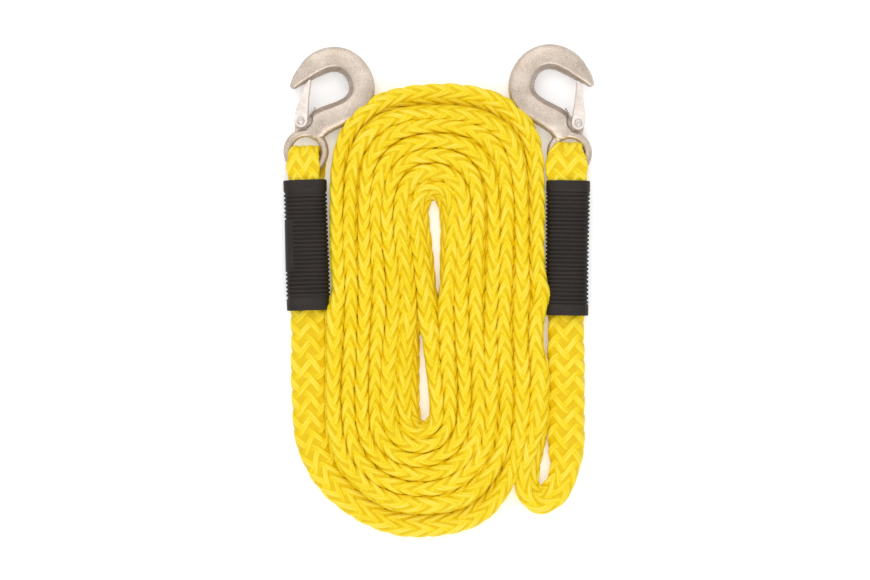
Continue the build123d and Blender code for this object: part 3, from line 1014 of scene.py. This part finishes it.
def eye_tube(name, s, line, wide, thick):
    """A flat stretch of the braid that folds in a level plane, with its width kept level."""
    tangent = np.gradient(line, axis=0)
    tangent /= np.linalg.norm(tangent, axis=1)[:, None]
    level = np.array([1.0, 0, 0]) - tangent * tangent[:, :1]
    level /= np.linalg.norm(level, axis=1)[:, None]
    frames = (np.cross(level, tangent), level)
    roll = np.zeros(len(s))
    return braid_tube(name, s, line, wide, thick, roll, relief=0.72, lay=45.0, shift=0.31, frames=frames)


# --- metal, rubber and placing ----------------------------------------------------------------------------


def metal_material(name, colours, roughness, grain, bump, metallic=0.85, edge=0.0):
    """Zinc-plated steel: uneven satin with fine grain; with edge, painted shade on the sides and a painted
    highlight along the rounded edges.
    """
    n = Nodes(name)
    place = n.place()
    fine = n.noise(place, 1500.0, 3.0, 0.6)
    cast = n.noise(place, 420.0, 4.0, 0.6)
    cloud = n.noise(place, 70.0, 3.0, 0.55)
    light = n.math("ADD", n.math("MULTIPLY", fine, grain), n.math("MULTIPLY", cloud, 0.4))
    light = n.math("ADD", light, n.math("MULTIPLY", cast, 0.6 - grain))
    low, mid, high = colours
    colour = n.ramp(light, [(0.38, low), (0.5, mid), (0.62, high)])
    if edge:
        facing = n.add("ShaderNodeSeparateXYZ")
        n.set(facing.inputs[0], n.add("ShaderNodeTexCoord").outputs["Normal"])
        level = n.math("ABSOLUTE", facing.outputs[2])
        level = n.math("ADD", level, n.math("MULTIPLY", n.math("SUBTRACT", cast, 0.5), 0.12))
        # Painted shade on the steep sides and, less, on the flat faces, with a painted highlight band between
        # them along the rounded edges.
        shades = [(0.3, 1 - edge), (0.62, 1 - 0.6 * edge), (0.8, 1.0), (0.88, 1.0), (0.98, 1 - 0.4 * edge)]
        shade = n.ramp(level, [(place, (grey,) * 3) for place, grey in shades])
        colour = n.mix(1.0, colour, shade, "MULTIPLY")
    n.set(n.bsdf.inputs["Base Color"], colour)
    n.set(n.bsdf.inputs["Roughness"], n.range(cloud, 0.3, 0.7, roughness - 0.06, roughness + 0.06))
    n.bsdf.inputs["Metallic"].default_value = metallic
    normal = n.bump(cast, bump * 0.7, 0.0004)
    n.set(n.bsdf.inputs["Normal"], n.bump(fine, bump, 0.0002, normal))
    return n.material


def rubber_material():
    """Black rubber with a fine dull grain."""
    n = Nodes("sleeve_rubber")
    place = n.place()
    fine = n.noise(place, 900.0, 4.0, 0.6)
    cloud = n.noise(place, 60.0, 3.0)
    light = n.math("ADD", n.math("MULTIPLY", fine, 0.4), n.math("MULTIPLY", cloud, 0.6))
    blacks = [(0.3, (0.008, 0.0046, 0.003)), (0.7, (0.021, 0.0128, 0.0088))]
    n.set(n.bsdf.inputs["Base Color"], n.ramp(light, blacks))
    n.set(n.bsdf.inputs["Roughness"], n.range(fine, 0.3, 0.7, 0.5, 0.66))
    n.set(n.bsdf.inputs["Normal"], n.bump(fine, 0.25, 0.0002))
    n.bsdf.inputs["Specular IOR Level"].default_value = 0.38
    return n.material


FORGED_TONES = ((0.5, 0.4, 0.32), (0.68, 0.57, 0.475), (0.84, 0.74, 0.65))
LATCH_TONES = ((0.66, 0.57, 0.51), (0.78, 0.7, 0.64), (0.88, 0.82, 0.77))
RIVET_TONES = ((0.5, 0.45, 0.42), (0.66, 0.6, 0.57), (0.8, 0.76, 0.73))
SPRING_TONES = ((0.3, 0.26, 0.23), (0.45, 0.4, 0.36), (0.62, 0.56, 0.52))
# edge=0.36 sets how strong the forging's painted shade on its sides and painted highlight along its edges
# are.
forged = metal_material("forged_zinc", FORGED_TONES, 0.4, grain=0.5, bump=0.7, metallic=0.75, edge=0.36)
pressed = metal_material("latch_zinc", LATCH_TONES, 0.44, grain=0.3, bump=0.25, metallic=0.5)
riveted = metal_material("rivet_zinc", RIVET_TONES, 0.4, grain=0.2, bump=0.15)
sprung = metal_material("spring_steel", SPRING_TONES, 0.35, grain=0.15, bump=0.1)
rubber = rubber_material()


def put(obj, material, body, node):
    """Give a piece its material and its body, and hide the CAD node it stands for."""
    obj.data.materials.clear()
    obj.data.materials.append(material)
    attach(obj, body)
    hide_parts(node)


for side in ("left", "right"):
    put(hook_mesh(side), forged, f"{side}_hook", f"{side}_hook_body")
    put(latch_mesh(side), pressed, f"{side}_latch", f"{side}_latch")
    put(rivet_mesh(side), riveted, f"{side}_hook", f"{side}_latch_pin")
    put(sleeve_mesh(side), rubber, "rope", f"{side}_sleeve")
    put(eye_mesh(side), rope.data.materials[0], "rope", f"{side}_eye_loop")
    spring = spring_mesh(side)
    spring.data.materials.append(sprung)
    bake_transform(spring)
    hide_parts(f"{side}_latch_spring")

# --- stage ------------------------------------------------------------------------------------------------


def floor_material():
    """Plain white."""
    n = Nodes("floor_white")
    n.bsdf.inputs["Base Color"].default_value = (0.93, 0.93, 0.93, 1.0)
    n.bsdf.inputs["Roughness"].default_value = 0.9
    n.bsdf.inputs["Specular IOR Level"].default_value = 0.1
    n.bsdf.inputs["Emission Color"].default_value = (1.0, 1.0, 1.0, 1.0)
    n.bsdf.inputs["Emission Strength"].default_value = 0.25
    return n.material


def area_light(name, place, size, power):
    """A soft light, in metres and watts, turned towards the origin."""
    data = bpy.data.lights.new(name, "AREA")
    data.shape = "RECTANGLE"
    data.size, data.size_y = size
    data.energy = power
    obj = bpy.data.objects.new(name, data)
    obj.location = place
    obj.rotation_euler = (-Vector(place)).to_track_quat("-Z", "Y").to_euler()
    bpy.context.scene.collection.objects.link(obj)


# Height in the studio, from 0, level, to 1, overhead, and the brightness there.
SKY = ((0.0, 0.62), (0.35, 0.74), (0.75, 0.8), (0.97, 0.78))
FLOOR_REACH = 4000.0  # millimetres each way
CAMERA_PLACE = (-0.00224, 0.0, 1.6)  # metres, looking straight down
CAMERA_LENS = 102.9

scene = bpy.context.scene
corners = [(x * FLOOR_REACH, y * FLOOR_REACH, 0.0) for x, y in ((-1, -1), (1, -1), (1, 1), (-1, 1))]
floor = new_mesh("floor", corners, [[0, 1, 2, 3]], False)
floor.data.materials.append(floor_material())
area_light("key", (0.15, -1.15, 1.15), (0.8, 0.8), 6.5)
area_light("fill", (-0.2, 1.0, 1.4), (1.8, 1.8), 11.5)
world = bpy.data.worlds.new("studio")
world.use_nodes = True
tree = world.node_tree
height = tree.nodes.new("ShaderNodeSeparateXYZ")
tree.links.new(tree.nodes.new("ShaderNodeTexCoord").outputs["Generated"], height.inputs[0])
sky = tree.nodes.new("ShaderNodeValToRGB")
tree.links.new(height.outputs[2], sky.inputs[0])
for place, _ in SKY[1:-1]:
    sky.color_ramp.elements.new(place)
for element, (place, level) in zip(sky.color_ramp.elements, SKY):
    element.position = place
    element.color = (level, level, level, 1.0)
tree.links.new(sky.outputs[0], tree.nodes["Background"].inputs[0])
tree.nodes["Background"].inputs[1].default_value = 1.0
scene.world = world
scene.view_settings.view_transform = "Standard"
camera_data = bpy.data.cameras.new("camera")
camera_data.sensor_width = 36.0
camera_data.lens = CAMERA_LENS
camera_data.clip_start = 0.05
camera = bpy.data.objects.new("camera", camera_data)
camera.location = CAMERA_PLACE
scene.collection.objects.link(camera)
scene.camera = camera
